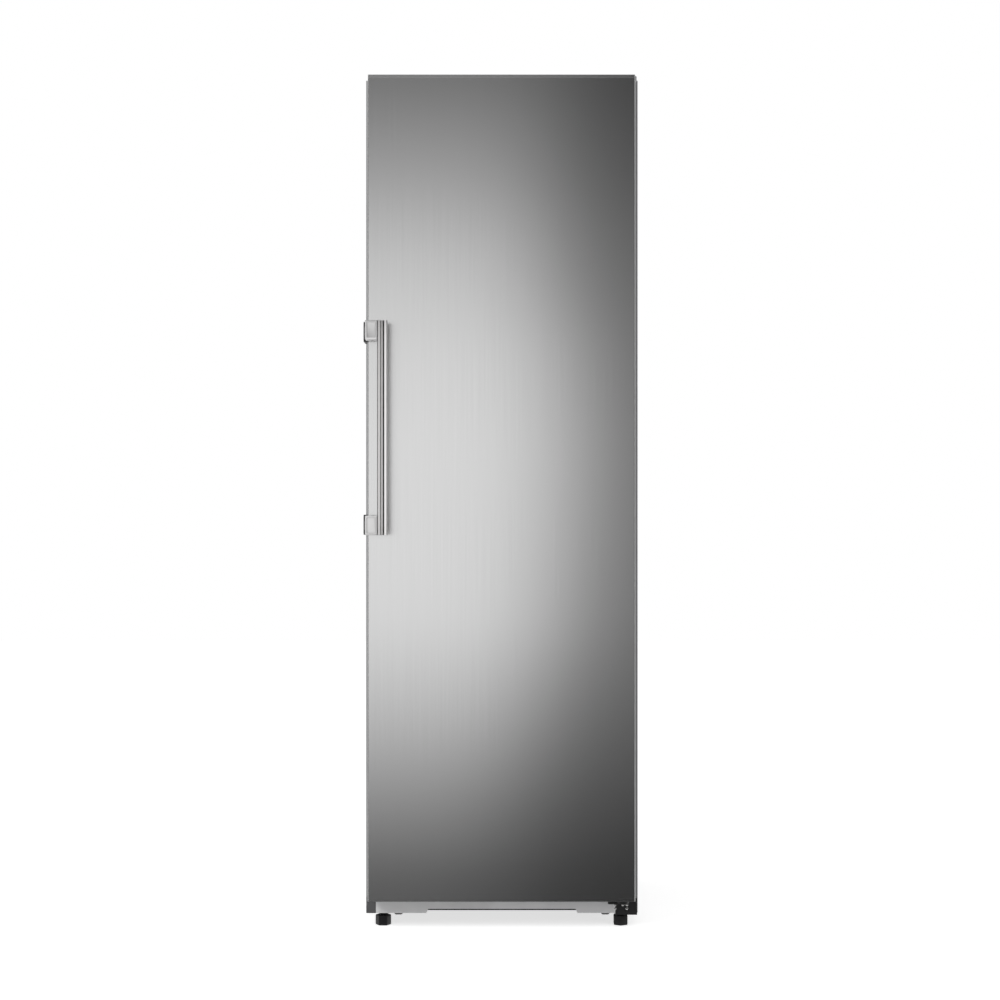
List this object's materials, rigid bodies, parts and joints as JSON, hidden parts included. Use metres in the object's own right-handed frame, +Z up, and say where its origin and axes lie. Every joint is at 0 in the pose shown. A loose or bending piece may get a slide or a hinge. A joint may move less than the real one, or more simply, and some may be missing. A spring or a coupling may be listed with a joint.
{
  "type": "single door refrigerator",
  "caption": "Tall single-door larder refrigerator with a brushed steel door, a lever handle, glass shelves, drawers, door racks, and its cooling machine.",
  "frame": {"origin": "on the floor under the feet, at the middle of the overall width and depth", "axes": "+X to the right and +Y to the wall as seen from the front, +Z up"},
  "size_m": [0.5958, 0.723, 1.865],
  "materials": {
    "silver_paint": "satin silver-grey paint on steel sheet",
    "door_steel": "stainless sheet, brushed upright, clear coated",
    "zinc_sheet": "galvanised steel sheet",
    "hinge_steel": "dark zinc-plated steel",
    "pin_steel": "bright turned steel",
    "black_paint": "black stove enamel",
    "white_liner": "white vacuum-formed polystyrene",
    "foam": "rigid polyurethane foam",
    "grey_plastic": "moulded grey plastic",
    "dark_plastic": "moulded black plastic",
    "white_plastic": "moulded white plastic",
    "clear_plastic": "clear moulded polystyrene",
    "frosted_plastic": "frosted lamp cover",
    "shelf_glass": "toughened safety glass with ground edges",
    "display_glass": "dark printed window",
    "satin_aluminium": "satin anodised aluminium",
    "black_rubber": "moulded rubber",
    "gasket_vinyl": "soft grey vinyl",
    "copper": "drawn copper tube"
  },
  "bodies": {
    "cabinet": {"cabinet_shell": "silver_paint", "back_panel": "zinc_sheet", "base_pan": "zinc_sheet", "lower_hinge_bracket": "hinge_steel", "upper_hinge_bracket": "hinge_steel", "hinge_pins": "pin_steel", "hinge_screws": "pin_steel", "roller_axles": "pin_steel", "compressor": "black_paint", "condenser": "black_paint", "cabinet_liner": "white_liner", "cabinet_insulation": "foam", "plinth": "grey_plastic", "corner_cover": "grey_plastic", "upper_hinge_cover": "grey_plastic", "relay_box": "dark_plastic", "drip_tray": "dark_plastic", "condenser_clips": "dark_plastic", "power_inlet": "dark_plastic", "fan_motor": "dark_plastic", "control_panel": "white_plastic", "fan_housing": "white_plastic", "light_lens": "frosted_plastic", "shelf_1": "shelf_glass", "shelf_2": "shelf_glass", "shelf_3": "shelf_glass", "shelf_4": "shelf_glass", "shelf_5": "shelf_glass", "display_window": "display_glass", "evaporator_plate": "satin_aluminium", "shelf_trims": "satin_aluminium", "compressor_grommets": "black_rubber", "filter_dryer": "copper", "refrigerant_tubes": "copper"},
    "fan": {"fan_rotor": "white_plastic"},
    "drawer_left": {"drawer_left": "clear_plastic"},
    "drawer_right": {"drawer_right": "clear_plastic"},
    "foot_left": {"foot_left": "dark_plastic"},
    "foot_right": {"foot_right": "dark_plastic"},
    "front_roller_left": {"front_roller_left": "dark_plastic"},
    "front_roller_right": {"front_roller_right": "dark_plastic"},
    "rear_roller_left": {"rear_roller_left": "dark_plastic"},
    "rear_roller_right": {"rear_roller_right": "dark_plastic"},
    "power_button": {"power_button": "white_plastic"},
    "warmer_button": {"warmer_button": "white_plastic"},
    "colder_button": {"colder_button": "white_plastic"},
    "door": {"door_skin": "door_steel", "door_liner": "white_liner", "door_insulation": "foam", "door_end_caps": "grey_plastic", "door_gasket": "gasket_vinyl", "hinge_bushes": "dark_plastic", "door_racks": "clear_plastic", "bottle_rack": "clear_plastic", "handle_brackets": "dark_plastic", "handle_pivot_pins": "pin_steel"},
    "bottle_guard": {"bottle_guard": "clear_plastic"},
    "handle": {"handle_levers": "satin_aluminium", "handle_bar": "satin_aluminium"},
    "pushers": {"handle_pushers": "grey_plastic"}
  },
  "joints": [
    {"name": "door_swing", "type": "hinge", "parent": "cabinet", "child": "door", "pos_m": [0.2635, -0.2765, 0.9595], "axis": [0, 0, 1], "range_deg": [0, 115]},
    {"name": "handle_pull", "type": "hinge", "parent": "door", "child": "handle", "pos_m": [-0.279, -0.328, 1.0885], "axis": [0, 0, -1], "range_deg": [0, 15], "stiffness_Nm_per_rad": 3, "springref_deg": -8.59},
    {"name": "pusher_travel", "type": "slide", "parent": "door", "child": "pushers", "axis": [0, 1, 0], "range_m": [0, 0.0038]},
    {"name": "bottle_guard_slide", "type": "slide", "parent": "door", "child": "bottle_guard", "axis": [1, 0, 0], "range_m": [-0.18, 0.18]},
    {"name": "fan_spin", "type": "hinge", "parent": "cabinet", "child": "fan", "pos_m": [0, 0.235, 1.61], "axis": [0, 1, 0], "continuous": true},
    {"name": "drawer_left_slide", "type": "slide", "parent": "cabinet", "child": "drawer_left", "axis": [0, -1, 0], "range_m": [0, 0.05]},
    {"name": "drawer_right_slide", "type": "slide", "parent": "cabinet", "child": "drawer_right", "axis": [0, -1, 0], "range_m": [0, 0.05]},
    {"name": "foot_left_screw", "type": "slide", "parent": "cabinet", "child": "foot_left", "axis": [0, 0, -1], "range_m": [0, 0.015]},
    {"name": "foot_right_screw", "type": "slide", "parent": "cabinet", "child": "foot_right", "axis": [0, 0, -1], "range_m": [0, 0.015]},
    {"name": "front_roller_left_spin", "type": "hinge", "parent": "cabinet", "child": "front_roller_left", "pos_m": [-0.2286, -0.1935, 0.032], "axis": [1, 0, 0], "continuous": true},
    {"name": "front_roller_right_spin", "type": "hinge", "parent": "cabinet", "child": "front_roller_right", "pos_m": [0.2286, -0.1935, 0.032], "axis": [1, 0, 0], "continuous": true},
    {"name": "rear_roller_left_spin", "type": "hinge", "parent": "cabinet", "child": "rear_roller_left", "pos_m": [-0.2286, 0.2845, 0.02], "axis": [1, 0, 0], "continuous": true},
    {"name": "rear_roller_right_spin", "type": "hinge", "parent": "cabinet", "child": "rear_roller_right", "pos_m": [0.2286, 0.2845, 0.02], "axis": [1, 0, 0], "continuous": true},
    {"name": "power_button_press", "type": "slide", "parent": "cabinet", "child": "power_button", "axis": [0, 1, 0], "range_m": [0, 0.001], "stiffness_N_per_m": 600, "springref_m": -0.001},
    {"name": "warmer_button_press", "type": "slide", "parent": "cabinet", "child": "warmer_button", "axis": [0, 1, 0], "range_m": [0, 0.001], "stiffness_N_per_m": 600, "springref_m": -0.001},
    {"name": "colder_button_press", "type": "slide", "parent": "cabinet", "child": "colder_button", "axis": [0, 1, 0], "range_m": [0, 0.001], "stiffness_N_per_m": 600, "springref_m": -0.001}
  ],
  "couplings": [
    {"joint": "pusher_travel", "follows": "handle_pull", "m_per_rad": 0.0145}
  ]
}
